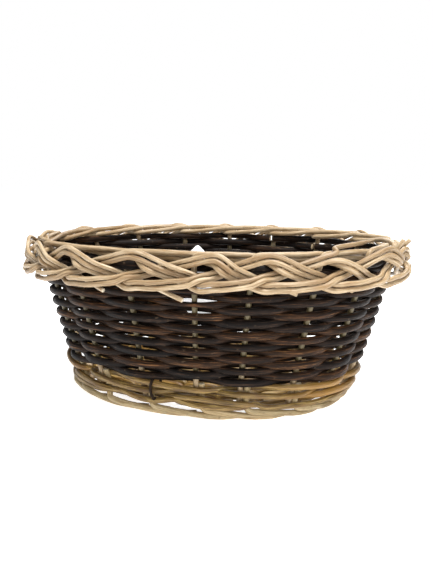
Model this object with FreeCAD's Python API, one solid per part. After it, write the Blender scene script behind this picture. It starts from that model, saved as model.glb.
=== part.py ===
import FreeCAD, Part
import math
import os
from FreeCAD import Vector

# Oval willow basket, stake-and-strand work, millimetres.
# X runs along the basket's length, Y across it, Z up. The origin is on the
# surface the basket stands on, below the middle of the oval.
# A place on the wall is given by a station, which counts stakes round the
# oval, by how far it stands out from the ring of stakes, and by its height.

# Driving dimensions
STAKES = 18                 # upright rods, evenly spaced round the oval
STAKE_ROD = 4.4             # diameter of a stake, which also makes the rim
WEAVER_ROD = 4.6            # diameter of a siding, waling or base weaver
BASE_STICK = 5.0            # diameter of the thicker sticks of the base
ROOT_LENGTH = 134.4         # half length of the stake ring at the ground
ROOT_WIDTH = 106.8          # half width of the stake ring at the ground
LEAN_LENGTH = 0.30          # how much the ends flare, per mm of height
LEAN_WIDTH = 0.1625         # how much the long sides flare, per mm of height
OVAL_POWER = 2.25           # 2 is an ellipse, more is squarer
FIRST_STATION = 0.15        # where station 0 sits, in pitches past the +X end
STATION_SHIFT = {12: -0.12, 14: 0.14, 17: -0.12}   # stakes set by hand
MIDDLE_Z = 70               # stations are spaced evenly at this height

FLOOR_Z = 13.8              # middle of the woven base
WALE_ROWS = 3
WALE_FIRST_Z = 18.9
WALE_PITCH = 5.3
EDGE_ROD_Z = 12.9           # the rod laid round outside the turn of the stakes
EDGE_ROD_OUT = 5.0
EDGE_ROD_START = 4.5        # the station where its two ends meet
EDGE_ROD_POINTS = 72        # points its line is laid through
SIDING_ROWS = 19
SIDING_FIRST_Z = 36.3
SIDING_PITCH = 5.4
RIM_LOW_Z = 116.8           # lowest rod of the plaited rim
RIM_HIGH_Z = 146.0          # highest rod of the plaited rim
RIM_TOP_OUT = 13.6          # how far out the plait stands at its top
RIM_FLARE = 0.33            # and how much further, for each mm lower
RIM_DEPTH = 6.2             # between its inner and outer layer, at its top
RIM_DEPTH_GROWTH = 0.11     # and how much more, for each mm lower
RIM_LIFT = 5.0              # the plait is shallower where it faces forward
LIFT_STATION = 14.9
LIFT_REACH = 2.0
ROD_STEP = 5.5              # height between neighbours in a rim strand
FALL = 26.3                 # how far a strand drops in one pitch
FALL_TOP_Z = 144.0
FALL_DELAY = 0.17           # how far past its peak a strand starts to drop
RISE = 17.9                 # how far a strand climbs in one pitch
RISE_LEAD = 0.10            # how far before its peak a strand stops climbing
STAGGER = 0.12              # how much later each next rod of a strand crosses
LOW_RISE = 1.0
SUMMIT_Z = 144.2            # top of a strand's second rod
SUMMIT_RISE = 5.0           # how much higher its third rod tops out
SUMMIT_STEP = 0.08

# The rim's run. Along the plait, places are stations past a peak, or before
# the next one, with the layer: 0 next to the stakes, 1 on the outside.
# Elsewhere they are stations on, how far out, and height.
ELBOW = ((0.0, 1.5, 146.4), (0.66, -4.9, 145.6), (1.0, -5.4, 145.1),
         (1.6, -6.0, 141.2), (2.06, -6.2, 139.0))
COMING_OUT = ((2.20, 0.1, 138.0), (2.32, 1, 133.8))   # stations, layer, height
FALL_PLACES = ((0.40, 1), (0.72, 0), (0.86, 0))
LOW_PLACES = ((1.14, 0.9), (1.55, 1.1))
RISE_PLACES = ((0.82, 1), (0.50, 0), (0.18, 0))
TIP_PLACES = ((1.32, -0.2), (1.62, 0.1))
TIP_INSIDE = 8              # this stake's tip lies loose inside the rim
INSIDE_RUN = ((0.15, -1.0, 151.5), (0.95, -8.5, 153.0), (1.75, -12.5, 152.5))
TIPS_UP = {10: -0.25, 11: -0.80}   # these are cut off standing up past the rim
RAISED_RUN = ((-0.08, 9.0, 145.0), (0.0, 12.0, 155.5))

# Fits between rods
CLEARANCE = 0.2
SIDING_HUG = 0.13           # a weaver lies flat against a stake this far each side
WALE_HUG = 0.20             # the waling also takes in the foot rod by the stake
WEAVE_SLACK = 0.7           # how far a weaver stands off the stakes
WEAVE_OFFSET = (STAKE_ROD + WEAVER_ROD) / 2 + CLEARANCE + WEAVE_SLACK
BUTT_GAP = 0.02             # gap between the two ends of a round, in pitches
SIDING_BEND = 14.0
RIM_BEND = 12.0
ELBOW_BEND = 7.0            # where a stake turns over at the top
UPSETT_BEND = 5.0           # where a stake turns up at the edge of the base
BASE_BEND = 8.0
GENTLE_BEND = 60.0          # the edge rod and the sticks of the base

# Base
TAIL = -22.0                # how far a stake's tail runs in under the base
STICK_END = -25.0           # where a base stick stops, short of the tails
BASE_EDGE = -7.2            # outermost round of the base
BASE_ROUNDS = 17
GROUPED_ROUNDS = 3          # first rounds take the sticks in groups of three
CROSS_STICKS = {2: 26, 3: 20, 4: 14, 5: -14, 6: -20, 7: -26}   # station: X
CROSS_PARTNER = 18          # stations of a cross stick's ends add up to this
CROSS_Y = 14.0
LONG_STICKS = {0: 0, 1: 6, 17: -6}                             # station: Y
LONG_PARTNER = 9            # a long stick's ends add up to this, or a round more
LONG_X = 42.0
SLATH_STEP = BASE_STICK / 2
FIRST_ROUND = 0.9           # the first round, in rounds out from the slath
LAST_ROUND = 0.4            # room past the last round, in rounds
ROUND_SLACK = 0.4           # how far a round stands off the sticks
ROUND_HUG = 0.2             # it lies flat against a stick this far each side

# Foot. A foot rod's run, as stations on from where it stands, how far out,
# and height: it turns to the right, lies on the rod before it, then drops to
# the ground and passes under the next one.
FOOT_BESIDE = 0.13          # a foot rod stands this far past its stake
FOOT_TOP_Z = 33.0
FOOT_LOW_Z = 1.9            # middle of the run that rests on the ground
FOOT_RUN = ((0.0, 0.0, 9.5), (0.50, 3.8, 7.8), (0.85, 2.2, 5.2),
            (1.15, 0.2, FOOT_LOW_Z), (1.55, 0.8, FOOT_LOW_Z),
            (1.85, -3.0, FOOT_LOW_Z))
FOOT_BEND = 7.0
GROUND = 600.0              # size of the block that stands for the ground

# Tie
TIE_STATION = 13.24
TIE_WIDTH = 1.8
TIE_THICK = 1.1
TIE_LOW_Z = 15.3
TIE_SLACK = 1.2             # room between the tie and the top of the waling

# Blank card tag, standing on one corner against the inside of the front wall
TAG_STATION = 13.99
TAG_SIDE = 50.0
TAG_THICK = 0.6
TAG_TOP_Z = 155.0
TAG_LOW_Z = 80.0            # a lower height, which sets how the tag leans
TAG_BEHIND = -10.6          # its front face, in from the ring of stakes


def oval(half_length, half_width, angle):
    c = math.cos(angle)
    s = math.sin(angle)
    x = half_length * math.copysign(abs(c) ** (2 / OVAL_POWER), c)
    y = half_width * math.copysign(abs(s) ** (2 / OVAL_POWER), s)
    return x, y


def angle_table(steps=7200):
    """Running length round the stake ring at half height, for each angle."""
    a = ROOT_LENGTH + LEAN_LENGTH * MIDDLE_Z
    b = ROOT_WIDTH + LEAN_WIDTH * MIDDLE_Z
    lengths = [0.0]
    last = oval(a, b, 0)
    for k in range(1, steps + 1):
        here = oval(a, b, 2 * math.pi * k / steps)
        lengths.append(lengths[-1] + math.dist(last, here))
        last = here
    return lengths


LENGTHS = angle_table()


def shifted(station):
    """Station with the hand-set shifts of its two nearest stakes blended in."""
    low = math.floor(station)
    part = station - low
    here = STATION_SHIFT.get(low % STAKES, 0)
    after = STATION_SHIFT.get((low + 1) % STAKES, 0)
    return station + here * (1 - part) + after * part


def station_angle(station):
    share = ((shifted(station) + FIRST_STATION) / STAKES) % 1.0
    wanted = share * LENGTHS[-1]
    low = 0
    high = len(LENGTHS) - 1
    while high - low > 1:
        middle = (low + high) // 2
        if LENGTHS[middle] <= wanted:
            low = middle
        else:
            high = middle
    part = (wanted - LENGTHS[low]) / (LENGTHS[high] - LENGTHS[low])
    return 2 * math.pi * (low + part) / (len(LENGTHS) - 1)


def at(station, out, z):
    """Point at a station, out from the stake ring, at a height."""
    a = ROOT_LENGTH + LEAN_LENGTH * z
    b = ROOT_WIDTH + LEAN_WIDTH * z
    x, y = oval(a, b, station_angle(station))
    nx = math.copysign(abs(x / a) ** (OVAL_POWER - 1), x) / a
    ny = math.copysign(abs(y / b) ** (OVAL_POWER - 1), y) / b
    size = math.hypot(nx, ny)
    return Vector(x + out * nx / size, y + out * ny / size, z)


def rounded_path(points, bend, tighter=None):
    """Straight runs through the points, joined by tangent arcs.

    tighter gives a smaller radius for some corners, by their place in points."""
    tighter = tighter or {}
    edges = []
    start = points[0]
    for number in range(1, len(points) - 1):
        before = points[number - 1]
        corner = points[number]
        after = points[number + 1]
        back = (before - corner).normalize()
        ahead = (after - corner).normalize()
        half_turn = (math.pi - back.getAngle(ahead)) / 2
        if half_turn < 0.004:
            continue
        shorter = min((before - corner).Length, (after - corner).Length)
        wanted = tighter.get(number, bend)
        reach = min(wanted * math.tan(half_turn), 0.45 * shorter)
        radius = reach / math.tan(half_turn)
        inward = (back + ahead).normalize()
        first = corner + back * reach
        middle = corner + inward * (radius / math.cos(half_turn) - radius)
        last = corner + ahead * reach
        edges.append(Part.LineSegment(start, first).toShape())
        edges.append(Part.Arc(first, middle, last).toShape())
        start = last
    edges.append(Part.LineSegment(start, points[-1]).toShape())
    return Part.Wire(edges)


def rod(points, diameter, bend, tighter=None):
    """A round willow rod along the points."""
    path = rounded_path(points, bend, tighter)
    start = (points[1] - points[0]).normalize()
    ring = Part.Circle(points[0], start, diameter / 2).toShape()
    return path.makePipe(Part.Face(Part.Wire([ring])))


def weaving_round(z, first, flat, passes_outside):
    """One round of the wall, from its butt end behind a stake back to it."""
    points = [at(first + BUTT_GAP, -WEAVE_OFFSET, z)]
    for step in range(STAKES + 1):
        station = first + step
        side = 1 if passes_outside(station % STAKES) else -1
        for hug in (-flat, flat):
            place = station + hug
            if first + BUTT_GAP < place < first + STAKES - BUTT_GAP:
                points.append(at(place, side * WEAVE_OFFSET, z))
    points.append(at(first + STAKES - BUTT_GAP, -WEAVE_OFFSET, z))
    return rod(points, WEAVER_ROD, SIDING_BEND)


def siding_round(row):
    """Over one, under one; each row starts three stakes on from the last."""
    first = (4 + 3 * row) % STAKES
    return weaving_round(SIDING_FIRST_Z + row * SIDING_PITCH, first, SIDING_HUG,
                         lambda stake: (stake - first) % 2 == 1)


def edge_rod():
    """The lowest rod of the waling, outside every stake where it turns up."""
    points = []
    for k in range(EDGE_ROD_POINTS + 1):
        along = (STAKES - 2 * BUTT_GAP) * k / EDGE_ROD_POINTS
        points.append(at(EDGE_ROD_START + BUTT_GAP + along, EDGE_ROD_OUT, EDGE_ROD_Z))
    return rod(points, WEAVER_ROD, GENTLE_BEND)


def waling_round(row):
    """Over two, under one; each row steps one stake on."""
    first = 4 + row
    return weaving_round(WALE_FIRST_Z + row * WALE_PITCH, first, WALE_HUG,
                         lambda stake: (stake - first) % 3 != 0)


def lifted(station, z):
    """The height z, raised towards the front where the plait is shallower."""
    away = (station - LIFT_STATION + STAKES / 2) % STAKES - STAKES / 2
    lift = RIM_LIFT * math.exp(-(away / LIFT_REACH) ** 2)
    share = (z - RIM_LOW_Z) / (RIM_HIGH_Z - RIM_LOW_Z)
    return z + lift * min(1.0, max(0.0, 1 - share))


def rim_point(station, layer, z):
    """Point of the plait: layer 0 lies next to the stakes, 1 on the outside."""
    down = min(max(RIM_HIGH_Z - z, 0), RIM_HIGH_Z - RIM_LOW_Z - 3)
    outer = RIM_TOP_OUT + RIM_FLARE * down
    depth = RIM_DEPTH + RIM_DEPTH_GROWTH * down
    return at(station, outer - (1 - layer) * depth, lifted(station, z))


def falling(station, peak, age):
    middle = FALL_TOP_Z - FALL * (station - peak - FALL_DELAY)
    return middle + ROD_STEP * (age - 1)


def rising(station, peak, age):
    return RIM_HIGH_Z - ROD_STEP * (2 - age) - RISE * (peak - station - RISE_LEAD)


def inside_tip(peak):
    return [at(peak + ahead, out, z) for ahead, out, z in INSIDE_RUN]


def raised_tip(peak, stake):
    place = peak + TIPS_UP[stake]
    return [at(place + ahead, out, z) for ahead, out, z in RAISED_RUN]


def rim_points(stake):
    """The stake's own top, laid down into the rim in three falls.

    It bends behind the next two stakes, comes out as the lowest rod of a
    strand, and climbs again as the middle and then the top rod of later ones."""
    points = [at(stake + ahead, out, z) for ahead, out, z in ELBOW]
    points += [rim_point(stake + ahead, layer, z) for ahead, layer, z in COMING_OUT]
    for age in range(3):
        peak = stake + 2 + 3 * age
        if age == 2 and stake == TIP_INSIDE:
            return points + inside_tip(peak)
        if age == 2 and stake in TIPS_UP:
            return points[:-1] + raised_tip(peak, stake)
        for ahead, layer in FALL_PLACES:
            place = peak + ahead + STAGGER * age
            points.append(rim_point(place, layer, falling(place, peak, age)))
        if age == 2:
            break
        low = RIM_LOW_Z + LOW_RISE + ROD_STEP * age
        for ahead, layer in LOW_PLACES:
            points.append(rim_point(peak + ahead, layer, low))
        summit = peak + 3
        older = age + 1
        for behind, layer in RISE_PLACES:
            place = summit - behind - STAGGER * older
            points.append(rim_point(place, layer, rising(place, summit, older)))
        points.append(rim_point(summit + SUMMIT_STEP * older, 0.5,
                                SUMMIT_Z + SUMMIT_RISE * age))
    for ahead, layer in TIP_PLACES:
        place = peak + ahead
        points.append(rim_point(place, layer, falling(place, peak, age)))
    return points


def stake(number):
    """One willow stake: tail under the base, upright, then rim."""
    points = [at(number, TAIL, FLOOR_Z), at(number, 0, FLOOR_Z)]
    return rod(points + rim_points(number), STAKE_ROD, RIM_BEND,
               {1: UPSETT_BEND, 2: ELBOW_BEND})


def foot_rod(number):
    """A rod pushed up beside a stake and laid down to the right as the foot."""
    beside = number + FOOT_BESIDE
    points = [at(beside, 0, FOOT_TOP_Z)]
    points += [at(beside + ahead, out, z) for ahead, out, z in FOOT_RUN]
    solid = rod(points, STAKE_ROD, FOOT_BEND)
    below = Part.makeBox(GROUND, GROUND, GROUND, Vector(-GROUND / 2, -GROUND / 2, -GROUND))
    return solid.cut(below).Solids[0]


def slath_point(station):
    """Where a base stick leaves the middle of the base, at this station."""
    for number, x in CROSS_STICKS.items():
        if station == number:
            return Vector(x, CROSS_Y, FLOOR_Z - SLATH_STEP)
        if station == CROSS_PARTNER - number:
            return Vector(x, -CROSS_Y, FLOOR_Z - SLATH_STEP)
    for number, y in LONG_STICKS.items():
        if station == number:
            return Vector(LONG_X, y, FLOOR_Z + SLATH_STEP)
        if station == (LONG_PARTNER - number) % STAKES or station == LONG_PARTNER + STAKES - number:
            return Vector(-LONG_X, y, FLOOR_Z + SLATH_STEP)
    raise ValueError(station)


def spoke_point(station, share):
    """Along a base spoke, from the slath (0) to the base's edge (1)."""
    low = math.floor(station)
    part = station - low
    ends = []
    for whole in (low % STAKES, (low + 1) % STAKES):
        inner = slath_point(whole)
        outer = at(whole, BASE_EDGE, FLOOR_Z)
        ends.append(inner + (outer - inner) * share)
    return ends[0] * (1 - part) + ends[1] * part


def group_of(station):
    """Which group of three sticks a spoke belongs to, for the first rounds."""
    return ((station + 1) % STAKES) // 3


def base_round(number):
    """One round of the base, over and under the sticks."""
    share = (number + FIRST_ROUND) / (BASE_ROUNDS + LAST_ROUND)
    lift = (BASE_STICK + WEAVER_ROD) / 2 + ROUND_SLACK
    first = (4 + 5 * number) % STAKES
    points = []
    for step in range(STAKES + 1):
        station = (first + step) % STAKES
        order = group_of(station) if number < GROUPED_ROUNDS else station
        side = 1 if (order + number) % 2 else -1
        for hug in (-ROUND_HUG, ROUND_HUG):
            place = first + step + hug
            if first < place < first + STAKES:
                point = spoke_point(place, share)
                middle = spoke_point(station, share)
                point.z = middle.z + side * lift
                points.append(point)
    return rod(points, WEAVER_ROD, BASE_BEND)


def cross_stick(station):
    """A stick across the base, from one long side to the other."""
    back = slath_point(station)
    front = slath_point(CROSS_PARTNER - station)
    return rod([at(station, STICK_END, FLOOR_Z), back, front,
                at(CROSS_PARTNER - station, STICK_END, FLOOR_Z)],
               BASE_STICK, GENTLE_BEND)


def long_stick(station):
    """A stick along the base, lying over the cross sticks."""
    other = (LONG_PARTNER - station) % STAKES
    right = slath_point(station)
    left = slath_point(other)
    return rod([at(station, STICK_END, FLOOR_Z), right, left,
                at(other, STICK_END, FLOOR_Z)], BASE_STICK, GENTLE_BEND)


def tie():
    """A thin dark bark tie looped once round the waling."""
    low = TIE_LOW_Z
    high = WALE_FIRST_Z + (WALE_ROWS - 1) * WALE_PITCH + WEAVER_ROD / 2 + TIE_SLACK
    middle_z = (low + high) / 2
    centre = at(TIE_STATION, 0, middle_z)
    out = (at(TIE_STATION, 10, middle_z) - centre).normalize()
    along = Vector(-out.y, out.x, 0)
    depth = WEAVE_OFFSET + WEAVER_ROD / 2 + CLEARANCE + TIE_THICK
    lean = LEAN_WIDTH * (high - low) / 2

    def loop(shrink):
        corners = []
        for side, level in ((-1, -1), (1, -1), (1, 1), (-1, 1)):
            reach = side * (depth - shrink) + level * lean
            rise = level * ((high - low) / 2 - shrink)
            corners.append(centre + out * reach + Vector(0, 0, rise)
                           - along * (TIE_WIDTH / 2))
        return Part.Face(Part.makePolygon(corners + corners[:1]))

    band = loop(0).cut(loop(TIE_THICK))
    return band.extrude(along * TIE_WIDTH)


def blank_tag():
    """A square of plain card with one corner up, leaning with the wall."""
    top = at(TAG_STATION, TAG_BEHIND, TAG_TOP_Z)
    low = at(TAG_STATION, TAG_BEHIND, TAG_LOW_Z)
    up = (top - low).normalize()
    inward = (at(TAG_STATION, TAG_BEHIND - 10, TAG_TOP_Z) - top).normalize()
    across = up.cross(inward).normalize()
    reach = TAG_SIDE / math.sqrt(2)
    centre = top - up * reach
    corners = [top, centre + across * reach, centre - up * reach,
               centre - across * reach]
    face = Part.Face(Part.makePolygon(corners + corners[:1]))
    return face.extrude(across.cross(up).normalize() * TAG_THICK)


def write(name, solids):
    """Write one node, made of one solid or of several like ones."""
    for solid in solids:
        if not solid.isValid() or solid.Volume <= 0:
            raise ValueError(name)
    shape = solids[0] if len(solids) == 1 else Part.makeCompound(solids)
    shape.exportStep("parts/%s.step" % name)


def main():
    os.makedirs("parts", exist_ok=True)
    for number in range(STAKES):
        write("stake_%02d" % (number + 1), [stake(number)])
    for row in range(SIDING_ROWS):
        write("siding_row_%02d" % (row + 1), [siding_round(row)])
    for row in range(WALE_ROWS):
        write("waling_row_%d" % (row + 1), [waling_round(row)])
    write("edge_rod", [edge_rod()])
    write("foot_border", [foot_rod(number) for number in range(STAKES)])
    write("base_sticks", [cross_stick(s) for s in CROSS_STICKS]
          + [long_stick(s) for s in LONG_STICKS])
    write("slath_binding", [base_round(n) for n in range(GROUPED_ROUNDS)])
    for number in range(GROUPED_ROUNDS, BASE_ROUNDS):
        write("base_round_%02d" % (number + 1), [base_round(number)])
    write("bark_tie", [tie()])
    write("blank_tag", [blank_tag()])


main()
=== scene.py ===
import math
import random

import bpy
import numpy as np
from mathutils import Matrix, Vector
from mathutils.kdtree import KDTree


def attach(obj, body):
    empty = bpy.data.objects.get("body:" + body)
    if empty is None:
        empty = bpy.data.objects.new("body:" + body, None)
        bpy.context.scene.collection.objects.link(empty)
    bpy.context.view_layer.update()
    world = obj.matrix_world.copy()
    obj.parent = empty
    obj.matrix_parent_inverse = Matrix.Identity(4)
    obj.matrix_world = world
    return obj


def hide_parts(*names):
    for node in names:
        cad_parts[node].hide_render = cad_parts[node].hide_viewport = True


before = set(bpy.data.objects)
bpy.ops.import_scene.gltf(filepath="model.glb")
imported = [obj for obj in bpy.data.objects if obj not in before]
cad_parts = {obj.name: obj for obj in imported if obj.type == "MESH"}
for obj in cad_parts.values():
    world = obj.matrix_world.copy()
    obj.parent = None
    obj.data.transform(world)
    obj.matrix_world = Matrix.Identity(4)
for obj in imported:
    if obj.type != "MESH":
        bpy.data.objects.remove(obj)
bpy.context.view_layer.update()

# Oval willow basket in stake-and-strand work. Every rod is its own tapered
# tube, worked out in millimetres in the frame of the CAD and scaled to metres
# where a mesh is made.
# A place on the wall is given by a station, which counts stakes round the
# oval, by how far it stands out from the ring of stakes, and by its height.

MM = 0.001

# Ring of stakes
STAKES = 18
ROOT_LENGTH = 134.4  # half length of the ring at the ground
ROOT_WIDTH = 106.8  # half width of the ring at the ground
LEAN_LENGTH = 0.30  # how much the ends flare, per mm of height
LEAN_WIDTH = 0.1625  # how much the long sides flare, per mm of height
OVAL_POWER = 2.25  # 2 is an ellipse, more is squarer
FIRST_STATION = 0.15  # where station 0 sits, in pitches past the +X end
STATION_SHIFT = {12: -0.12, 14: 0.14, 17: -0.12}  # stakes set one by one
MIDDLE_Z = 70  # stations are spaced evenly at this height

# Rods
SIDES = 12
STEP = 2.0  # distance between rings of a rod
# Thickness at the butt and at the tip, each from least to most
STAKE_WIDTHS = ((5.1, 5.5), (3.5, 3.9))
SIDING_WIDTHS = ((6.0, 6.9), (5.1, 5.8))
WALE_WIDTHS = ((5.6, 6.3), (5.0, 5.5))
ROUND_WIDTHS = ((5.3, 5.6), (5.0, 5.3))
# And of rods that don't vary
EDGE_WIDTHS = (5.7, 4.8)
FOOT_WIDTHS = (5.8, 5.3)
STICK_WIDTHS = (5.3, 4.8)
TIE_WIDTHS = (2.7, 2.5)
THICKNESS_STRAY = (0.025, 60)  # share of it that strays, and wavelength
KNOT_FIRST = (15, 50)  # how far along a rod its first knot is
KNOT_GAP = (28, 75)  # and how far it is to the next one
KNOT_SWELL = (0.03, 0.08)
KNOT_REACH = 2.2
POINT_SHARE = 0.35  # how thick a pointed tip is at its very end
OVALNESS = 0.035
OVAL_TURN = 45  # a rod's oval section turns half a radian in this
CUT_DOME = 0.3  # how far a cut end stands out past the last ring
CUT_LIP = 0.86  # size of the flat of a cut, inside its worn edge
CUT_PITH = 0.05

# Rim: a strand falls from its peak, runs along the low edge, and rises again
RIM_LOW_Z = 116.8  # lowest rod of the plait
RIM_HIGH_Z = 146.0  # highest rod of the plait
RIM_TOP_OUT = 13.0  # how far out the plait stands at its top
RIM_FLARE = 0.33  # and how much further, for each mm lower
FLARE_ABOVE = 2  # the flare starts this far above RIM_HIGH_Z
FLARE_REACH = RIM_HIGH_Z - RIM_LOW_Z - 3  # and goes this far down
RIM_DEPTH = 6.5  # between its inner and outer layer, at its top
RIM_DEPTH_GROWTH = 0.11  # and how much more, for each mm lower
# Where the low rods are raised: station, how far, and reach
RIM_LIFTS = ((14.9, 5.0, 2.0), (18.3, 1.5, 1.0))
# How far to one side of its stake the top of a strand stands, in pitches
STRAND_SWAY = {12: -0.07, 13: 0.05, 14: 0.32, 15: 0.12, 16: 0.05, 17: 0.2}
ROD_STEP = 5.2  # height between neighbours in a strand
FALL = 24.5  # how far a strand drops in one pitch
FALL_TOP_Z = 144.0
FALL_DELAY = 0.17  # how far past its peak a strand starts to drop
RISE = 17.9  # how far a strand climbs in one pitch
RISE_LEAD = 0.10  # how far before its peak a strand stops climbing
RISE_SAG = 4.5  # and how much lower it hangs, a pitch before
STAGGER = 0.12  # how much later each next rod of a strand crosses
LOW_RISE = 1.0
SUMMIT_Z = 145.6  # top of a strand's second rod
SUMMIT_RISE = 5.0  # how much higher its third rod tops out
SUMMIT_STEP = 0.08
SUMMIT_LAYER = 0.5

# The rim's run. Along the plait, places are stations past a peak, or before
# the next one, with the layer: 0 by the stakes, 1 outside. Elsewhere they are
# stations on, how far out, and height.
ELBOW = ((0.0, 1.5, 148.0), (0.66, -4.9, 147.6), (1.0, -5.4, 146.8),
         (1.6, -6.0, 143.2), (2.06, -6.2, 141.2))
COMING_OUT = ((2.20, 0.1, 140.0), (2.32, 1, 136.6))  # stations, layer, height
FALL_PLACES = ((0.40, 1), (0.72, 0), (0.86, 0))
LOW_PLACES = ((1.14, 0.9, 0.0), (1.55, 1.1, 0.0), (1.82, 1.1, 2.6))  # and rise
RISE_PLACES = ((0.82, 1), (0.50, 0), (0.18, 0))
LAST_PLACE = (1.32, -0.2)

# How far past its last peak each stake's tip runs before it is cut, where it
# can be seen, and how deep in the plait the cut lies
TIP_REACH = {0: (1.50, 1.05), 1: (1.40, 1.15), 3: (1.68, 0.1), 4: (1.90, 0.1),
             6: (1.66, 0.1), 7: (1.58, 0.2)}
TIP_USUAL = (1.5, 0.1)
TIP_LONG = 9  # this stake's tip runs on almost a station more
LONG_RUN = ((0.4, 0.3, 112.5), (0.9, 0.2, 109.0))  # stations on, layer, height
TIP_INSIDE = 8  # this stake's tip lies loose inside the rim
INSIDE_RUN = ((0.15, -1.0, 152.5), (0.95, -8.5, 154.0), (1.50, -12.5, 154.0))
INSIDE_POINT = 28.0  # and tapers to a point over this length
TIPS_UP = {10: (-0.42, 155.0), 11: (-0.78, 151.0)}  # cut off standing up
RAISED_FROM = (-0.08, 9.0, 144.0)
RAISED_OUT = 12.0

# How a stake bends: tightly up to its elbow, more loosely in the rim
TIGHT_BEND = 3.0
LOOSE_BEND = 5.0
TURNED_FROM = 22  # the change starts this far past the upright
TURNED_OVER = 25  # and takes this long

# Painted shade: the part of a stake inside the wall is darkened to be as dark as the
# wall
SHADE_DEPTH = 0.94
SHADE_BELOW = 8  # it starts this far below the top of the upright
SHADE_LOW = 40  # and ends this far from the tail's end
SHADE_EDGE = 14  # each edge fades over this length
STAKE_TONES = (0.27, 0.36, 0.22)  # lowest, varying, and painted light on one side
PALE_STATION = 5  # painted light: the rim's rods are paler towards this side
RIM_MIDDLE = 6  # a stake's middle in the rim, in stations past it

# How the rim's rods settle against each other
RIM_GAP = 0.4  # left between them
SETTLE_ROUNDS = 26
SETTLE_FROM = 25  # a rod is held for RIM_HIGH_Z and this along it
SETTLE_OVER = 30  # and comes free over this length
SETTLE_PUSH = 1.25
SETTLE_SPREAD = 4.0
SETTLE_LAST = 2.5
SETTLE_ROWS = 5  # the siding rows that the rim leans on
NEIGHBOUR_REACH = 5.6
OWN_RINGS = 14  # a rod doesn't push its own rings nearer than this

# Siding
SIDING_ROWS = 19
SIDING_FIRST_Z = 36.3
SIDING_PITCH = 5.4
SIDING_OUT = 4.7  # how far a weaver stands off the ring of stakes
SIDING_HUG = 0.12  # how closely it hugs them
SIDING_FIRST = 4  # the first row starts by this stake
SIDING_NEXT = 3  # and each next row this many stakes on
SIDING_TALL = 1.18  # weavers are pressed taller than they are deep
SIDING_STRAY = (0.30, 80)  # how far a weaver strays in height, and wavelength
SIDING_BULGE = (0.30, 50)  # and in and out
JOIN_GAP = 0.04  # from the end of a rod to its place, in pitches
SIDING_TONES = (0.12, 0.76, 0.20)  # lowest, varying, and browner side
WARM_STATION = 16.5  # the browner rods lie on this side
# Packed rows dip together: how far, waves in a round, shift, and lean
ROW_WAVES = ((0.45, 3, 0, 0.22), (0.35, 5, 1.3, -0.17))
TOP_ROWS_RISE = 3.2  # the last rows are pushed up under the plait
TOP_ROWS_FROM = 13
TOP_ROWS = 5
# The siding is slack by one stake. For each row, how much thinner it is there
SLACK_STATION = 13.95
SLACK_REACH = 0.45
SLACK_ROWS = {11: 0.14, 12: 0.27, 13: 0.36, 14: 0.36, 15: 0.31, 16: 0.18}

# Waling
WALE_ROWS = 3
WALE_RODS = 3  # rods joined end to end in a row
WALE_FIRST = 4  # the first row starts by this stake
WALE_STROKE = 3  # over two stakes and under one
WALE_FIRST_Z = 18.9
WALE_PITCH = 5.3
WALE_MIDDLE = 0.9  # it swings about this far out
WALE_OUT = 5.0  # by this much
WALE_HUG = 1.9  # and hugs the stakes this closely
WALE_SHIFT = 0.25  # it is outside for longer than inside
WALE_SLOPE = 1.9
WALE_DROOP = 1.5  # how far the lowest row drops as it goes inside
WALE_STRAY = (0.25, 90)
AMBER_STATION = 17.0  # the waling is amber here
AMBER_DEPTH = 0.75

# Edge rod
EDGE_ROD_Z = 12.9
EDGE_ROD_OUT = 5.0
EDGE_ROD_START = 4.5  # the station where its two ends meet
EDGE_STRAY = (0.5, 120)
EDGE_BULGE = (0.3, 80)
EDGE_OPENINGS = ((12.45, 0.36), (13.62, 0.26), (15.28, 0.16))
EDGE_RISE = 3.0  # at these stations, within this reach, it rises
EDGE_INWARD = 2.6  # and lies further in
BUTT_GAP = 0.03  # from the end of a rod to its place, in pitches

# Base
FLOOR_Z = 13.8  # middle of the woven base
TAIL = -22.0  # where a stake's tail starts
STICK_END = -25.0  # where a base stick stops, short of the tails
BASE_EDGE = -5.6  # the edge of the woven base
BASE_ROUNDS = 17
GROUPED_ROUNDS = 3  # first rounds take the sticks in groups of three
CROSS_STICKS = {2: 26, 3: 20, 4: 14, 5: -14, 6: -20, 7: -26}  # station: X
CROSS_PARTNER = 18  # stations of a cross stick's ends add up to this
CROSS_Y = 11.0
LONG_STICKS = {0: 0, 1: 6, 17: -6}  # station: Y
LONG_PARTNER = 9  # and a long stick's to this, or a ring more
LONG_X = 38.0
SLATH_STEP = 2.5
FIRST_ROUND = 0.9  # the first round, in rounds out from the slath
EDGE_ROUND = BASE_ROUNDS + 0.4  # and the base's edge
ROUND_LIFT = 4.508  # how far a round goes over and under the sticks
ROUND_START = 4  # the station where the first round starts
ROUND_NEXT = 5  # and each next one, this many stations on
ROUND_GAP = 0.1  # left at each of its ends, in pitches
ROUND_POINTS = 720

# Foot. A foot rod's run, as stations on from where it stands, how far out,
# and height: it turns to the right, lies on the rod before it, then drops to
# the ground and passes under the next one. The last two numbers say how much
# of a bulge each point takes, downwards and outwards.
FOOT_BESIDE = 0.13  # a foot rod stands this far past its stake
FOOT_TOP_Z = 33.0
FOOT_LOW_Z = 2.2
FOOT_LEAST_Z = 2.85  # lowest that the middle of a rod can lie
FOOT_RUN = ((0.0, 0.0, FOOT_TOP_Z, 0, 0), (0.0, 0.3, 14.0, 0, 0),
            (0.04, 2.6, 8.6, 1, 1), (0.50, 3.8, 7.6, 1, 1),
            (0.85, 2.2, 5.2, 0.4, 1), (1.15, 0.2, 3.0, 0, 1),
            (1.55, 0.8, FOOT_LOW_Z, 0, 0.5), (1.85, -3.0, FOOT_LOW_Z, 0, 0))
# Foot rods that bulge: how much lower and how much further out they run
FOOT_BULGE = {10: (0.0, 3.0), 11: (0.0, 4.0), 12: (2.2, 2.8), 13: (1.7, 2.2)}

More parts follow.
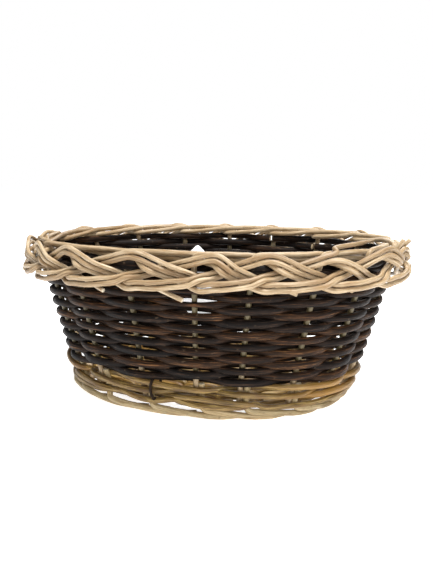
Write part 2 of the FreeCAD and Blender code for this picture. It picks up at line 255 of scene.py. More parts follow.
# How far these rods' lines are eased
FOOT_BEND = 3.5
ROUND_BEND = 4.5
STICK_BEND = 12.0
TIE_BEND = 1.6

# Tie: stations past TIE_STATION, how far out, height above its low or high end
TIE_STATION = 13.24
TIE_LOW_Z = 15.6
TIE_HIGH_Z = WALE_FIRST_Z + (WALE_ROWS - 1) * WALE_PITCH + 4.2
TIE_UP = ((0.02, 8.9, 1), (-0.01, 9.6, 7))
TIE_OVER = ((0.0, 9.6, -6), (0.03, 8.8, 0), (0.0, 0, 0.9), (0.0, -8.6, 0))
TIE_UNDER = ((0.0, -8.4, -2), (0.01, 0, -3), (0.01, 4.0, -0.6), (0.02, 8.3, 0))

# Blank card tag, standing on one corner inside the front wall
TAG_STATION = 13.99
TAG_SIDE = 50.0
TAG_THICK = 0.6
TAG_CORNER = 2.5  # radius of its corners
TAG_CORNER_STEPS = 6
TAG_TOP_Z = 155.0
TAG_LOW_Z = 80.0  # a lower height, which sets how the tag leans
TAG_BEHIND = -10.6  # its front face, in from the ring of stakes


def oval(half_length, half_width, angle):
    c = np.cos(angle)
    s = np.sin(angle)
    x = half_length * np.sign(c) * np.abs(c) ** (2 / OVAL_POWER)
    y = half_width * np.sign(s) * np.abs(s) ** (2 / OVAL_POWER)
    return x, y


ANGLES = np.linspace(0, 2 * math.pi, 7201)


def ring_lengths():
    """Running length round the ring of stakes at half height, at each angle."""
    a = ROOT_LENGTH + LEAN_LENGTH * MIDDLE_Z
    b = ROOT_WIDTH + LEAN_WIDTH * MIDDLE_Z
    x, y = oval(a, b, ANGLES)
    return np.concatenate([[0], np.cumsum(np.hypot(np.diff(x), np.diff(y)))])


LENGTHS = ring_lengths()
PITCH = LENGTHS[-1] / STAKES
SHIFTS = np.array([STATION_SHIFT.get(n, 0.0) for n in range(STAKES)])


def at(station, out, z):
    """Points at stations, out from the ring of stakes, at heights."""
    station, out, z = np.broadcast_arrays(
        np.atleast_1d(np.asarray(station, float)), out, z)
    low = np.floor(station).astype(int)
    part = station - low
    moved = (station + SHIFTS[low % STAKES] * (1 - part)
             + SHIFTS[(low + 1) % STAKES] * part)
    share = ((moved + FIRST_STATION) / STAKES) % 1.0
    angle = np.interp(share * LENGTHS[-1], LENGTHS, ANGLES)
    a = ROOT_LENGTH + LEAN_LENGTH * z
    b = ROOT_WIDTH + LEAN_WIDTH * z
    x, y = oval(a, b, angle)
    nx = np.sign(x) * np.abs(x / a) ** (OVAL_POWER - 1) / a
    ny = np.sign(y) * np.abs(y / b) ** (OVAL_POWER - 1) / b
    size = np.hypot(nx, ny)
    return np.column_stack([x + out * nx / size, y + out * ny / size, z])


def spot(station, out, z):
    """One point, as at() gives for several."""
    return at(station, out, z)[0]


def past(station, place):
    """How far a station is past a place, taking the shorter way round."""
    return (station - place + STAKES / 2) % STAKES - STAKES / 2


# ---- rods

def evenly(points):
    """Points spaced evenly along the straight runs through points."""
    points = np.asarray(points, float)
    run = run_of(points)
    marks = np.linspace(0, run[-1], max(4, int(round(run[-1] / STEP)) + 1))
    return np.column_stack([np.interp(marks, run, points[:, k]) for k in range(3)])


def eased(line, spread):
    """The line bent as willow bends, each point a mean of those near it.

    spread is how far along the rod that mean reaches, in millimetres."""
    spread = spread / STEP
    reach = min(int(3 * spread) + 1, len(line) - 1)
    weights = np.exp(-0.5 * (np.arange(-reach, reach + 1) / spread) ** 2)
    weights /= weights.sum()
    head = 2 * line[0] - line[reach:0:-1]
    tail = 2 * line[-1] - line[-2:-reach - 2:-1]
    padded = np.vstack([head, line, tail])
    return np.column_stack([np.convolve(padded[:, k], weights, "valid")
                            for k in range(3)])


def run_of(line):
    """Running length along a line, at each of its points."""
    gaps = np.linalg.norm(np.diff(line, axis=0), axis=1)
    return np.concatenate([[0], np.cumsum(gaps)])


def strays(run, rng, limits, waves=4):
    """A smooth random curve along a rod: about how far, and its wavelength."""
    most, wave = limits
    total = np.zeros(len(run))
    for _ in range(waves):
        length = wave * rng.uniform(0.6, 1.9)
        total += rng.uniform(0.4, 1.0) * np.sin(
            2 * math.pi * run / length + rng.uniform(0, 2 * math.pi))
    return most * (total / (0.7 * waves))


def widths(rng, butt, tip):
    """Thickness at a rod's butt and its tip, each drawn from its limits."""
    return rng.uniform(*butt), rng.uniform(*tip)


class Rod:
    """A willow rod: its line, its thickness along it, and its look."""

    def __init__(self, line, butt, tip, rng, painted_shade_and_amber=0.0, tone=None, point=0.0,
                 tall=1.0):
        self.line = np.asarray(line, float)
        self.run = run_of(self.line)
        length = self.run[-1]
        share = self.run / length
        radius = (butt + (tip - butt) * share) / 2
        radius = radius * (1 + strays(self.run, rng, THICKNESS_STRAY))
        knot = rng.uniform(*KNOT_FIRST)
        while knot < length:
            swell = rng.uniform(*KNOT_SWELL)
            near = np.exp(-((self.run - knot) / KNOT_REACH) ** 2)
            radius = radius * (1 + swell * near)
            knot += rng.uniform(*KNOT_GAP)
        if point > 0:
            left = np.clip((length - self.run) / point, 0, 1)
            radius = radius * (POINT_SHARE + (1 - POINT_SHARE) * left)
        self.radius = radius
        self.tall = tall
        self.painted_shade_and_amber = np.broadcast_to(painted_shade_and_amber, self.run.shape)
        self.tone = rng.random() if tone is None else tone
        self.offset = rng.uniform(0, 900)
        self.twist = rng.uniform(0, 6.28)

    def rings(self):
        """Vertices, faces and the look attributes of this rod."""
        line = self.line
        tangent = np.gradient(line, axis=0)
        tangent /= np.linalg.norm(tangent, axis=1)[:, None]
        side = np.cross(tangent[0], (0.1, 0.2, 1.0))
        side /= np.linalg.norm(side)
        sides = []
        for direction in tangent:
            side = side - direction * np.dot(side, direction)
            side = side / math.sqrt(np.dot(side, side))
            sides.append(side)
        sides = np.array(sides)
        other = np.cross(tangent, sides)
        turn = np.linspace(0, 2 * math.pi, SIDES, endpoint=False)
        oval_share = 1 + OVALNESS * np.cos(
            2 * turn[None, :] + self.twist + self.run[:, None] / OVAL_TURN)
        radius = self.radius[:, None] * oval_share
        cos, sin = np.cos(turn) / self.tall, np.sin(turn) * self.tall
        body = (line[:, None, :]
                + (radius * cos)[:, :, None] * sides[:, None, :]
                + (radius * sin)[:, :, None] * other[:, None, :])
        count = len(line)
        points = [body.reshape(-1, 3)]
        grain_z = np.repeat(self.run + self.offset, SIDES)
        grain = [np.column_stack([(radius * cos).ravel(), (radius * sin).ravel(),
                                  grain_z])]
        painted_shade_and_amber = [np.repeat(self.painted_shade_and_amber, SIDES)]
        cut = [np.zeros(count * SIDES)]
        faces = ring_faces(count)
        for end, way in ((0, -1), (count - 1, 1)):
            middle = line[end] + way * CUT_DOME * tangent[end]
            lip = middle + (body[end] - line[end]) * CUT_LIP
            start = sum(len(p) for p in points)
            points.append(lip)
            points.append(middle[None, :] + way * CUT_PITH * tangent[end])
            edge = np.arange(SIDES) + end * SIDES
            inner = np.arange(SIDES) + start
            faces += cap_faces(edge, inner, start + SIDES, way)
            grain.append(np.column_stack([
                radius[end] * cos * CUT_LIP, radius[end] * sin * CUT_LIP,
                np.full(SIDES, self.run[end] + self.offset)]))
            grain.append(np.array([[0, 0, self.run[end] + self.offset]]))
            painted_shade_and_amber.append(np.full(SIDES + 1, self.painted_shade_and_amber[end]))
            cut.append(np.ones(SIDES + 1))
        points = np.vstack(points)
        return (points, faces, np.vstack(grain), np.concatenate(painted_shade_and_amber),
                np.concatenate(cut), np.full(len(points), self.tone))


def ring_faces(count):
    faces = []
    for k in range(count - 1):
        for s in range(SIDES):
            after = (s + 1) % SIDES
            faces.append((k * SIDES + s, k * SIDES + after,
                          (k + 1) * SIDES + after, (k + 1) * SIDES + s))
    return faces


def cap_faces(edge, inner, centre, way):
    faces = []
    for s in range(SIDES):
        after = (s + 1) % SIDES
        lip = (edge[s], inner[s], inner[after], edge[after])
        fan = (inner[s], centre, inner[after])
        if way > 0:
            lip = lip[::-1]
            fan = fan[::-1]
        faces.append(lip)
        faces.append(fan)
    return faces


def add_numbers(mesh, name, kind, values):
    """Numbers that the material reads at each vertex."""
    attribute = mesh.attributes.new(name, kind, "POINT")
    field = "vector" if kind == "FLOAT_VECTOR" else "value"
    attribute.data.foreach_set(field, np.concatenate(values).astype(np.float32).ravel())


def willow_piece(name, rods, material, slot, *nodes):
    """One mesh of one or more rods, with what the material reads from it."""
    points, rings, grain, painted_shade_and_amber, cut, tone = zip(*[rod.rings() for rod in rods])
    faces = []
    start = 0
    for rod_points, rod_faces in zip(points, rings):
        faces += [tuple(int(k) + start for k in face) for face in rod_faces]
        start += len(rod_points)
    mesh = bpy.data.meshes.new(name)
    mesh.from_pydata(np.vstack(points) * MM, [], faces)
    mesh.polygons.foreach_set("use_smooth", [True] * len(mesh.polygons))
    add_numbers(mesh, "grain", "FLOAT_VECTOR", grain)
    add_numbers(mesh, "painted_shade_and_amber", "FLOAT", painted_shade_and_amber)
    add_numbers(mesh, "cut", "FLOAT", cut)
    add_numbers(mesh, "tone", "FLOAT", tone)
    mesh.materials.append(material)
    mesh.update()
    return finished(name, mesh, slot, *nodes)


def finished(name, mesh, slot, *nodes):
    """An object of the mesh, in place of the CAD nodes it stands for."""
    piece = placed(name, mesh)
    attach(piece, "root")
    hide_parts(*nodes)
    return piece


def placed(name, data):
    """An object of a mesh, a light or a camera, in the scene."""
    thing = bpy.data.objects.new(name, data)
    bpy.context.scene.collection.objects.link(thing)
    return thing


# ---- materials

class Look:
    """A material and short ways to add its nodes."""

    def __init__(self, name):
        self.material = bpy.data.materials.new(name)
        self.material.use_nodes = True
        self.nodes = self.material.node_tree.nodes
        self.links = self.material.node_tree.links
        self.shader = self.nodes["Principled BSDF"]

    def join(self, output, socket):
        self.links.new(output, socket)

    def reading(self, name, output="Fac"):
        node = self.nodes.new("ShaderNodeAttribute")
        node.attribute_name = name
        return node.outputs[output]

    def stretched(self, vector, around, along):
        node = self.nodes.new("ShaderNodeMapping")
        node.inputs["Scale"].default_value = (around, around, along)
        self.join(vector, node.inputs["Vector"])
        return node.outputs["Vector"]

    def noise(self, vector, scale, detail=3.0, roughness=0.5, distortion=0.0):
        node = self.nodes.new("ShaderNodeTexNoise")
        for name, value in (("Scale", scale), ("Detail", detail),
                            ("Roughness", roughness), ("Distortion", distortion)):
            node.inputs[name].default_value = value
        self.join(vector, node.inputs["Vector"])
        return node.outputs["Fac"]

    def ramp(self, factor, stops):
        node = self.nodes.new("ShaderNodeValToRGB")
        elements = node.color_ramp.elements
        while len(elements) < len(stops):
            elements.new(0.5)
        for element, (place, colour) in zip(elements, stops):
            element.position = place
            element.color = (*colour, 1)
        self.join(factor, node.inputs["Fac"])
        return node.outputs["Color"]

    def between(self, value, low, high, to_low, to_high):
        node = self.nodes.new("ShaderNodeMapRange")
        for name, limit in (("From Min", low), ("From Max", high),
                            ("To Min", to_low), ("To Max", to_high)):
            node.inputs[name].default_value = limit
        self.join(value, node.inputs["Value"])
        return node.outputs["Result"]

    def mix(self, factor, first, second, blend="MIX"):
        node = self.nodes.new("ShaderNodeMix")
        node.data_type = "RGBA"
        node.blend_type = blend
        for value, number in ((factor, 0), (first, 6), (second, 7)):
            socket = node.inputs[number]
            if isinstance(value, bpy.types.NodeSocket):
                self.join(value, socket)
            else:
                socket.default_value = value if number == 0 else (*value, 1)
        return node.outputs[2]

    def sum(self, first, second):
        node = self.nodes.new("ShaderNodeMath")
        self.join(first, node.inputs[0])
        self.join(second, node.inputs[1])
        return node.outputs[0]

    def bump(self, height, strength, distance):
        node = self.nodes.new("ShaderNodeBump")
        node.inputs["Strength"].default_value = strength
        node.inputs["Distance"].default_value = distance
        self.join(height, node.inputs["Height"])
        return node.outputs["Normal"]

    def feed(self, output, name):
        self.join(output, self.shader.inputs[name])


def willow_look(name, streaks, patch, tones, painted_shade_and_amber_colour, cut, knot, rough, relief,
                gloss=0.4):
    """Willow: fine streaks along the rod, patches, knots and each rod's tone."""
    look = Look(name)
    grain = look.reading("grain", "Vector")
    tone = look.reading("tone")
    long_grain = look.stretched(grain, 1.0, 0.045)
    streak = look.noise(long_grain, 1.1, 5.0, 0.62, 0.3)
    fine = look.noise(look.stretched(grain, 1.0, 0.09), 4.2, 2.0, 0.5)
    mottle = look.noise(look.stretched(grain, 0.5, 0.10), 0.55, 3.0, 0.55)
    speck = look.noise(look.stretched(grain, 0.6, 0.28), 0.75, 1.0, 0.4)
    colour = look.ramp(streak, streaks)
    colour = look.mix(look.between(mottle, 0.48, 0.72, 0.0, 0.85), colour, patch)
    colour = look.mix(look.between(fine, 0.35, 0.7, 0.0, 0.35), colour,
                      (0.55, 0.5, 0.45), "MULTIPLY")
    colour = look.mix(1.0, colour, look.ramp(tone, tones), "MULTIPLY")
    colour = look.mix(look.between(speck, 0.68, 0.78, 0.0, 0.8), colour, knot)
    # painted shade on the stakes inside the wall, and the waling's amber, both mixed in
    # by one attribute
    colour = look.mix(look.reading("painted_shade_and_amber"), colour, painted_shade_and_amber_colour)
    end = look.reading("cut")
    pith = look.noise(grain, 0.9, 2.0)
    colour = look.mix(end, colour, look.ramp(pith, [
        (0.3, tuple(0.6 * c for c in cut)), (0.6, cut)]))
    look.feed(colour, "Base Color")
    look.shader.inputs["Specular IOR Level"].default_value = gloss
    look.feed(look.between(streak, 0.3, 0.75, *rough), "Roughness")
    height = look.sum(look.sum(streak, fine), look.between(speck, 0.66, 0.8, 0.0, 1.2))
    look.feed(look.bump(height, 0.55, relief * MM), "Normal")
    return look.material


def buff_willow():
    """Peeled willow of the stakes and rim, cream to tan with a soft sheen."""
    return willow_look(
        "buff_willow",
        streaks=[(0.30, (0.22, 0.14, 0.068)), (0.44, (0.40, 0.29, 0.17)),
                 (0.60, (0.58, 0.47, 0.33)), (0.78, (0.73, 0.64, 0.49))],
        patch=(0.33, 0.215, 0.105),
        tones=[(0.0, (0.52, 0.44, 0.34)), (0.25, (0.80, 0.74, 0.65)),
               (0.7, (1.0, 1.0, 0.98)), (1.0, (0.76, 0.66, 0.50))],
        # the painted shade of the stakes inside the wall
        painted_shade_and_amber_colour=(0.085, 0.066, 0.026), cut=(0.72, 0.63, 0.47),
        knot=(0.34, 0.19, 0.08), rough=(0.52, 0.36), relief=0.16)


def brown_willow():
    """Siding: willow in its bark, near black with brown and grey lights."""
    return willow_look(
        "brown_willow",
        streaks=[(0.34, (0.002, 0.0016, 0.0015)), (0.50, (0.008, 0.0055, 0.0045)),
                 (0.60, (0.028, 0.018, 0.012)), (0.74, (0.13, 0.088, 0.056))],
        patch=(0.005, 0.004, 0.004),
        tones=[(0.0, (0.38, 0.34, 0.34)), (0.3, (0.8, 0.62, 0.50)),
               (0.55, (1.1, 0.80, 0.56)), (0.8, (2.0, 1.3, 0.72)),
               (0.93, (2.8, 1.9, 1.05)), (1.0, (4.2, 2.9, 1.6))],
        painted_shade_and_amber_colour=(0.05, 0.035, 0.02), cut=(0.55, 0.42, 0.26),
        knot=(0.08, 0.052, 0.03), rough=(0.66, 0.46), relief=0.24, gloss=0.13)


def golden_willow():
    """Waling and base weaving: golden tan willow with amber patches."""
    return willow_look(
        "golden_willow",
        streaks=[(0.32, (0.05, 0.026, 0.006)), (0.46, (0.16, 0.098, 0.026)),
                 (0.60, (0.38, 0.265, 0.09)), (0.76, (0.66, 0.52, 0.27))],
        patch=(0.16, 0.08, 0.02),
        tones=[(0.0, (0.66, 0.60, 0.46)), (0.4, (0.92, 0.86, 0.76)),
               (0.75, (1.0, 0.97, 0.92)), (1.0, (1.0, 0.80, 0.50))],
        # the waling's amber
        painted_shade_and_amber_colour=(0.34, 0.18, 0.04), cut=(0.66, 0.52, 0.33),
        knot=(0.10, 0.05, 0.016), rough=(0.55, 0.38), relief=0.18)


def pale_willow():
    """The foot: paler, greyer willow, and painted paler still for the light it catches
    from the floor.
    """
    return willow_look(
        "pale_willow",
        streaks=[(0.30, (0.24, 0.17, 0.078)), (0.45, (0.42, 0.32, 0.18)),
                 (0.62, (0.60, 0.49, 0.315)), (0.82, (0.74, 0.64, 0.46))],
        patch=(0.27, 0.185, 0.075),
        tones=[(0.0, (0.80, 0.78, 0.66)), (0.5, (0.94, 0.92, 0.84)),
               (1.0, (1.0, 0.94, 0.82))],
        painted_shade_and_amber_colour=(0.12, 0.075, 0.03), cut=(0.66, 0.55, 0.38),
        knot=(0.13, 0.075, 0.028), rough=(0.58, 0.42), relief=0.18)


def dark_bark():
    """The tie: a strip of dark, dry bark."""
    look = Look("dark_bark")
    grain = look.reading("grain", "Vector")
    streak = look.noise(look.stretched(grain, 1.0, 0.2), 1.4, 4.0, 0.6)
    colour = look.ramp(streak, [(0.3, (0.006, 0.004, 0.003)),
                                (0.6, (0.022, 0.013, 0.008)),
                                (0.85, (0.07, 0.04, 0.02))])
    look.feed(colour, "Base Color")
    look.shader.inputs["Specular IOR Level"].default_value = 0.1
    look.feed(look.between(streak, 0.3, 0.8, 0.9, 0.7), "Roughness")
    look.feed(look.bump(streak, 0.6, 0.25 * MM), "Normal")
    return look.material


def white_card():
    """Blank card: off-white, with faint fibres, and a faint glow of painted light."""
    look = Look("white_card")
    place = look.nodes.new("ShaderNodeTexCoord").outputs["Object"]
    fibre = look.noise(place, 900.0, 3.0)
    cloud = look.noise(place, 60.0, 2.0)
    colour = look.ramp(cloud, [(0.3, (0.90, 0.90, 0.89)), (0.7, (0.96, 0.96, 0.95))])
    look.feed(colour, "Base Color")
    look.feed(look.between(fibre, 0.3, 0.7, 0.55, 0.7), "Roughness")
    look.feed(look.bump(fibre, 0.3, 0.05 * MM), "Normal")
    # painted light: the card glows so that it stays white in the shade inside the
    # basket
    look.shader.inputs["Emission Color"].default_value = (1, 1, 1, 1)
    look.shader.inputs["Emission Strength"].default_value = 0.55
    return look.material


# ---- the rim

def swayed(station, z):
    """The top of each strand stands a little to one side of its stake."""
    low = math.floor(station)
    part = station - low
    sway = (STRAND_SWAY.get(low % STAKES, 0) * (1 - part)
            + STRAND_SWAY.get((low + 1) % STAKES, 0) * part)
    share = (z - RIM_LOW_Z) / (RIM_HIGH_Z - RIM_LOW_Z)
    return station + sway * min(1.0, max(0.0, share))


def rim_spot(station, layer, z):
    """Point of the plait: layer 0 lies next to the stakes, 1 on the outside."""
    down = min(max(RIM_HIGH_Z + FLARE_ABOVE - z, 0), FLARE_REACH)
    outer = RIM_TOP_OUT + RIM_FLARE * down
    depth = RIM_DEPTH + RIM_DEPTH_GROWTH * down
    return spot(swayed(station, z), outer - (1 - layer) * depth, lifted(station, z))


def lifted(station, z):
    """The height z, raised where the plait is shallower."""
    lift = 0
    for place, most, reach in RIM_LIFTS:
        lift += most * math.exp(-(past(station, place) / reach) ** 2)
    share = (z - RIM_LOW_Z) / (RIM_HIGH_Z - RIM_LOW_Z)
    return z + lift * min(1.0, max(0.0, 1 - share))


def falling(station, peak, age):
    """Height of a strand's rod on the way down; its youngest rod is lowest."""
    middle = FALL_TOP_Z - FALL * (station - peak - FALL_DELAY)
    return middle + ROD_STEP * (age - 1)


def rising(station, peak, age):
    """Height of a strand's rod on the way up to its next peak."""
    top = RIM_HIGH_Z - ROD_STEP * (2 - age)
    return top - RISE * (peak - station - RISE_LEAD)


def rim_path(stake):
    """The stake's own top, laid down into the rim in three falls."""
    points = [spot(stake + ahead, out, z) for ahead, out, z in ELBOW]
    points += [rim_spot(stake + ahead, layer, z) for ahead, layer, z in COMING_OUT]
    for age in range(3):
        peak = stake + 2 + 3 * age
        if age == 2 and stake == TIP_INSIDE:
            return points + [spot(peak + ahead, out, z) for ahead, out, z in INSIDE_RUN]
        if age == 2 and stake in TIPS_UP:
            return points[:-1] + raised_tip(stake, peak)
        for ahead, layer in FALL_PLACES:
            place = peak + ahead + STAGGER * age
            points.append(rim_spot(place, layer, falling(place, peak, age)))
        if age < 2:
            points += low_and_up(peak, age)
    return points + cut_tip(stake, peak)


def raised_tip(stake, peak):
    """A tip that is cut off standing up past the rim."""
    place, top = TIPS_UP[stake]
    ahead, out, z = RAISED_FROM
    return [spot(peak + place + ahead, out, z), spot(peak + place, RAISED_OUT, top)]


def low_and_up(peak, age):
    """From the end of a fall along the plait's low edge and up to the next peak."""
    low = RIM_LOW_Z + LOW_RISE + ROD_STEP * age
    points = [rim_spot(peak + ahead, layer, low + more)
              for ahead, layer, more in LOW_PLACES]
    summit = peak + 3
    older = age + 1
    for behind, layer in RISE_PLACES:
        place = summit - behind - STAGGER * older
        height = rising(place, summit, older) - RISE_SAG * behind
        points.append(rim_spot(place, layer, height))
    points.append(rim_spot(summit + SUMMIT_STEP * older, SUMMIT_LAYER,
                           SUMMIT_Z + SUMMIT_RISE * age))
    return points


def cut_tip(stake, peak):
    """The end of a tip that is cut in the plait."""
    points = []
    for ahead, layer in (LAST_PLACE, TIP_REACH.get(stake, TIP_USUAL)):
        place = peak + ahead
        points.append(rim_spot(place, layer, falling(place, peak, 2)))
    if stake == TIP_LONG:
        points += [rim_spot(place + ahead, layer, z) for ahead, layer, z in LONG_RUN]
    return points


def settle(rods, walls):
    """Rods of the rim pressed into each other move apart until they lie free.

    Only the part past a stake's upright moves, and the walls stay put."""
    free = [np.clip((rod.run - RIM_HIGH_Z - SETTLE_FROM) / SETTLE_OVER, 0, 1)
            for rod in rods]
    first = np.concatenate([[0], np.cumsum([len(rod.line) for rod in rods])])
    fixed = np.vstack([rod.line for rod in walls])
    radius = np.concatenate([rod.radius for rod in rods + walls])
    owner = np.repeat(np.arange(len(rods + walls)),
                      [len(rod.line) for rod in rods + walls])
    weight = np.concatenate(free)
    for _ in range(SETTLE_ROUNDS):
        moving = np.vstack([rod.line for rod in rods])
        points = np.vstack([moving, fixed])
        tree = KDTree(len(points))
        for number, point in enumerate(points):
            tree.insert(point, number)
        tree.balance()
        push = np.zeros_like(moving)
        for number in np.flatnonzero(weight > 0):
            push[number] = push_away(number, points, radius, owner, tree, len(moving))
        for k, rod in enumerate(rods):
            part = push[first[k]:first[k + 1]] * free[k][:, None]
            rod.line = rod.line + SETTLE_PUSH * eased(part, SETTLE_SPREAD)
    for rod in rods:
        rod.line = eased(rod.line, SETTLE_LAST)


def push_away(number, points, radius, owner, tree, moving):
    """How far one point of a rod has to move to clear its neighbours."""
    here = points[number]
    nearest = {}
    for place, other, gap in tree.find_range(here, NEIGHBOUR_REACH):
        if owner[other] == owner[number] and abs(other - number) < OWN_RINGS:
            continue
        key = owner[other]
        if key not in nearest or gap < nearest[key][2]:
            nearest[key] = (place, other, gap)
    total = np.zeros(3)
    for place, other, gap in nearest.values():
        overlap = radius[number] + radius[other] + RIM_GAP - gap
        if overlap > 0 and gap > 1e-6:
            share = 0.5 if other < moving else 1.0
            total += (here - np.array(place)) / gap * overlap * share
    return total


def stake_rod(number):
    """One stake: tail in the base's edge, upright, elbow, then the rim."""
    rng = random.Random(100 + number)
    points = [spot(number, TAIL, FLOOR_Z), spot(number, 0, FLOOR_Z)]
    line = evenly(points + rim_path(number))
    upright = -TAIL + RIM_HIGH_Z - FLOOR_Z
    turned = np.clip((run_of(line) - upright - TURNED_FROM) / TURNED_OVER, 0, 1)
    turned = turned[:, None]
    line = eased(line, TIGHT_BEND) * (1 - turned) + eased(line, LOOSE_BEND) * turned
    run = run_of(line)
    # painted shade, darkening the stake where it stands inside the wall
    painted_shade_and_amber = SHADE_DEPTH * np.clip((upright - SHADE_BELOW - run) / SHADE_EDGE, 0, 1)
    painted_shade_and_amber = painted_shade_and_amber * np.clip((run - SHADE_LOW) / SHADE_EDGE, 0, 1)
    point = INSIDE_POINT if number == TIP_INSIDE else 0.0
    # painted light: stakes whose rim lies towards PALE_STATION are made paler
    painted_light_side = math.cos(2 * math.pi * (number + RIM_MIDDLE - PALE_STATION) / STAKES)
    lowest, varies, side = STAKE_TONES
    tone = lowest + varies * rng.random() + side * painted_light_side
    return Rod(line, *widths(rng, *STAKE_WIDTHS), rng, painted_shade_and_amber, tone, point)


# ---- the wall

def siding_line(row, start, end, rng):
    """Over one stake and under the next, from one station to another."""
    first = (SIDING_FIRST + SIDING_NEXT * row) % STAKES
    count = int((end - start) * PITCH / STEP)
    station = np.linspace(start, end, count)
    wave = np.cos(math.pi * (station - first))
    out = -SIDING_OUT * wave * (1 + SIDING_HUG - SIDING_HUG * wave ** 2)
    run = (station - start) * PITCH
    height = SIDING_FIRST_Z + row * SIDING_PITCH
    height += TOP_ROWS_RISE * max(0.0, (row - TOP_ROWS_FROM) / TOP_ROWS) ** 2
    z = height + row_wave(row, station) + strays(run, rng, SIDING_STRAY)
    return at(station, out + strays(run, rng, SIDING_BULGE), z)


def row_wave(row, station):
    """How far a row dips or rises with its neighbours."""
    turn = 2 * math.pi * station / STAKES
    return sum(most * np.sin(waves * turn + shift + lean * row)
               for most, waves, shift, lean in ROW_WAVES)


def siding_row(row):
    """A row of the siding, made of three or four rods joined inside the wall."""
    rng = random.Random(300 + row)
    first = (SIDING_FIRST + SIDING_NEXT * row) % STAKES
    inside = [first + 2 * k for k in range(STAKES // 2 + 1)]
    joins = sorted(rng.sample(inside[1:-1], rng.choice((2, 3))))
    ends = [first] + joins + [first + STAKES]
    rods = []
    for start, end in zip(ends[:-1], ends[1:]):
        line = siding_line(row, start + JOIN_GAP, end - JOIN_GAP, rng)
        butt, tip = widths(rng, *SIDING_WIDTHS)
        if rng.random() < 0.5:
            butt, tip = tip, butt
        warmth = math.cos(2 * math.pi * ((start + end) / 2 - WARM_STATION) / STAKES)
        lowest, varies, side = SIDING_TONES
        tone = min(1.0, max(0.0, lowest + varies * rng.random() + side * warmth))
        rod = Rod(line, butt, tip, rng, tone=tone, tall=SIDING_TALL)
        station = np.linspace(start, end, len(line))
        slack = np.exp(-(past(station, SLACK_STATION) / SLACK_REACH) ** 2)
        rod.radius = rod.radius * (1 - SLACK_ROWS.get(row, 0) * slack)
        rods.append(rod)
    return rods


def waling_row(row):
    """A row of the waling, made of rods joined end to end."""
    rng = random.Random(500 + row)
    span = STAKES / WALE_RODS
    rods = []
    for part in range(WALE_RODS):
        start = WALE_FIRST + row + span * part + BUTT_GAP
        rods.append(waling_rod(row, start, start + span - 2 * BUTT_GAP, rng))
    return rods


def waling_rod(row, start, end, rng):
    """Over two stakes and under one, sloping down as the next rods cover it."""
    station = np.linspace(start, end, int((end - start) * PITCH / STEP))
    phase = ((station - WALE_FIRST - row) / WALE_STROKE) % 1.0
    wave = -np.cos(2 * math.pi * phase)
    bend = np.tanh(WALE_HUG * (wave + WALE_SHIFT)) / np.tanh(WALE_HUG)
    out = WALE_MIDDLE + WALE_OUT * bend
    run = (station - start) * PITCH
    height = WALE_FIRST_Z + row * WALE_PITCH
    z = height + WALE_SLOPE * np.sin(2 * math.pi * phase)
    z = z + strays(run, rng, WALE_STRAY)
    if row == 0:
        z = z - WALE_DROOP * (1 - np.tanh(WALE_HUG * wave))
    amber = AMBER_DEPTH * np.exp(-past(station, AMBER_STATION) ** 2)
    return Rod(at(station, out, z), *widths(rng, *WALE_WIDTHS), rng, painted_shade_and_amber=amber)


def edge_rod():
    """The lowest rod of the waling, outside every stake where it turns up."""
    rng = random.Random(550)
    station = np.linspace(EDGE_ROD_START + BUTT_GAP, EDGE_ROD_START - BUTT_GAP + STAKES,
                          int(STAKES * PITCH / STEP))
    run = (station - station[0]) * PITCH
    z = EDGE_ROD_Z + strays(run, rng, EDGE_STRAY)
    out = EDGE_ROD_OUT + strays(run, rng, EDGE_BULGE)
    for place, reach in EDGE_OPENINGS:
        near = np.exp(-((station - place) / reach) ** 2)
        z = z + EDGE_RISE * near
        out = out - EDGE_INWARD * near
    return Rod(at(station, out, z), *EDGE_WIDTHS, rng)


# ---- the foot

def foot_rod(number):
    """A rod pushed up beside a stake and laid down to the right as the foot."""
    rng = random.Random(700 + number)
    lower, outer = FOOT_BULGE.get(number, (0.0, 0.0))
    points = [spot(number + FOOT_BESIDE + ahead, out + outward * outer,
                   z - downward * lower)
              for ahead, out, z, downward, outward in FOOT_RUN]
    line = eased(evenly(points), FOOT_BEND)
    line[:, 2] = np.maximum(line[:, 2], FOOT_LEAST_Z)
    return Rod(line, *FOOT_WIDTHS, rng)


# ---- the base

def slath_point(station):
    """Where a base stick leaves the middle of the base, at this station."""
    for number, x in CROSS_STICKS.items():
        if station == number:
            return np.array((x, CROSS_Y, FLOOR_Z - SLATH_STEP))
        if station == CROSS_PARTNER - number:
            return np.array((x, -CROSS_Y, FLOOR_Z - SLATH_STEP))
    for number, y in LONG_STICKS.items():
        if station == number:
            return np.array((LONG_X, y, FLOOR_Z + SLATH_STEP))
        if station == (LONG_PARTNER - number) % STAKES:
            return np.array((-LONG_X, y, FLOOR_Z + SLATH_STEP))
    raise ValueError(station)


SLATH = np.array([slath_point(n) for n in range(STAKES)])
SPOKE_ENDS = at(np.arange(STAKES), BASE_EDGE, FLOOR_Z)


def spoke_points(station, share):
    """Along the base's spokes, from the slath (0) to the base's edge (1)."""
    low = np.floor(station).astype(int)
    part = (station - low)[:, None]
    here = low % STAKES
    after = (low + 1) % STAKES
    along = SLATH + (SPOKE_ENDS - SLATH) * share
    return along[here] * (1 - part) + along[after] * part


